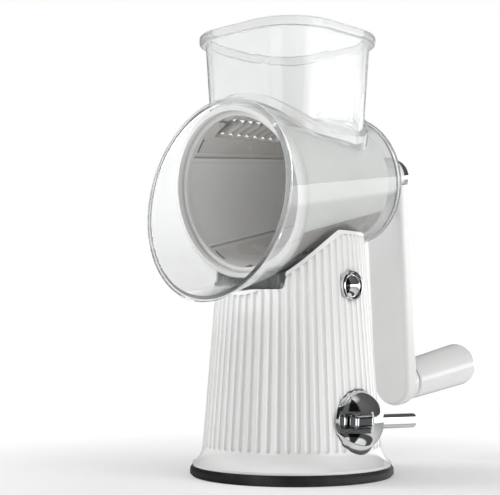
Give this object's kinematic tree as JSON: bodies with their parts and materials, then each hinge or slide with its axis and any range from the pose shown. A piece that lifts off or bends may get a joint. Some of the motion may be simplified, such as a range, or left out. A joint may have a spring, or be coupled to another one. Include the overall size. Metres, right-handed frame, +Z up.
{
  "type": "rotary cheese grater",
  "caption": "Hand-cranked drum grater: clear hopper and slanted spout round a tilted white drum, on a fluted column with a suction foot and lever.",
  "frame": {"origin": "centre of the foot ring on the ground", "axes": "+Z up, -Y towards the spout mouth, +Y towards the crank, +X towards the suction lever and release button"},
  "size_m": [0.1316, 0.2828, 0.2743],
  "materials": {
    "white_plastic": "gloss",
    "inner_plastic": "satin",
    "clear_plastic": "gloss",
    "rubber": "matte",
    "chrome": "polished",
    "steel": "brushed",
    "acetal": "satin"
  },
  "bodies": {
    "stand": {"base_column": "white_plastic", "foot_ring": "rubber", "base_plate": "inner_plastic", "suction_membrane": "rubber", "base_screws": "steel", "cam_bracket": "acetal", "bracket_screws": "steel", "lever_bush": "acetal", "button_bezel": "chrome", "head_cradle": "inner_plastic", "cradle_screws": "steel", "latch_spring": "steel", "plunger_spring": "steel", "clear_housing": "clear_plastic", "rear_bush": "acetal"},
    "lever": {"lever_dome": "chrome", "lever_bar": "chrome", "cam_shaft": "steel", "shaft_clip": "steel"},
    "plunger": {"suction_plunger": "acetal"},
    "button": {"release_button": "chrome", "button_stem": "acetal"},
    "latch": {"latch_slider": "acetal"},
    "drum": {"drum_frame": "white_plastic", "grating_plate_upper": "white_plastic", "grating_plate_lower": "white_plastic", "blade_strip_upper": "steel", "blade_strip_lower": "steel", "drive_shaft": "steel", "drive_screws": "steel", "thrust_washer": "acetal", "crank_arm": "white_plastic", "crank_bolt": "chrome", "knob_axle": "steel"},
    "knob": {"knob_grip": "white_plastic", "knob_cap": "white_plastic"}
  },
  "joints": [
    {"name": "crank_spin", "type": "hinge", "parent": "stand", "child": "drum", "pos_m": [0, -0.0505, 0.1732], "axis": [0, 0.9882, 0.153], "continuous": true},
    {"name": "knob_spin", "type": "hinge", "parent": "drum", "child": "knob", "pos_m": [-0.00888, 0.16936, 0.06028], "axis": [0, 0.9882, 0.153], "continuous": true},
    {"name": "lever_turn", "type": "hinge", "parent": "stand", "child": "lever", "pos_m": [0.05, 0, 0.036], "axis": [1, 0, 0], "range_deg": [0, 90]},
    {"name": "plunger_lift", "type": "slide", "parent": "stand", "child": "plunger", "axis": [0, 0, 1], "range_m": [-0.0035, 0], "deforming": ["plunger_spring", "suction_membrane"]},
    {"name": "button_press", "type": "slide", "parent": "stand", "child": "button", "axis": [-1, 0, 0], "range_m": [0, 0.003], "stiffness_N_per_m": 600, "springref_m": -0.002},
    {"name": "latch_drop", "type": "slide", "parent": "stand", "child": "latch", "axis": [0, 0, -1], "range_m": [0, 0.003], "deforming": ["latch_spring"]}
  ],
  "couplings": [
    {"joint": "lever_turn", "follows": "plunger_lift", "rad_per_m": -448.79},
    {"joint": "latch_drop", "follows": "button_press", "ratio": 1}
  ]
}
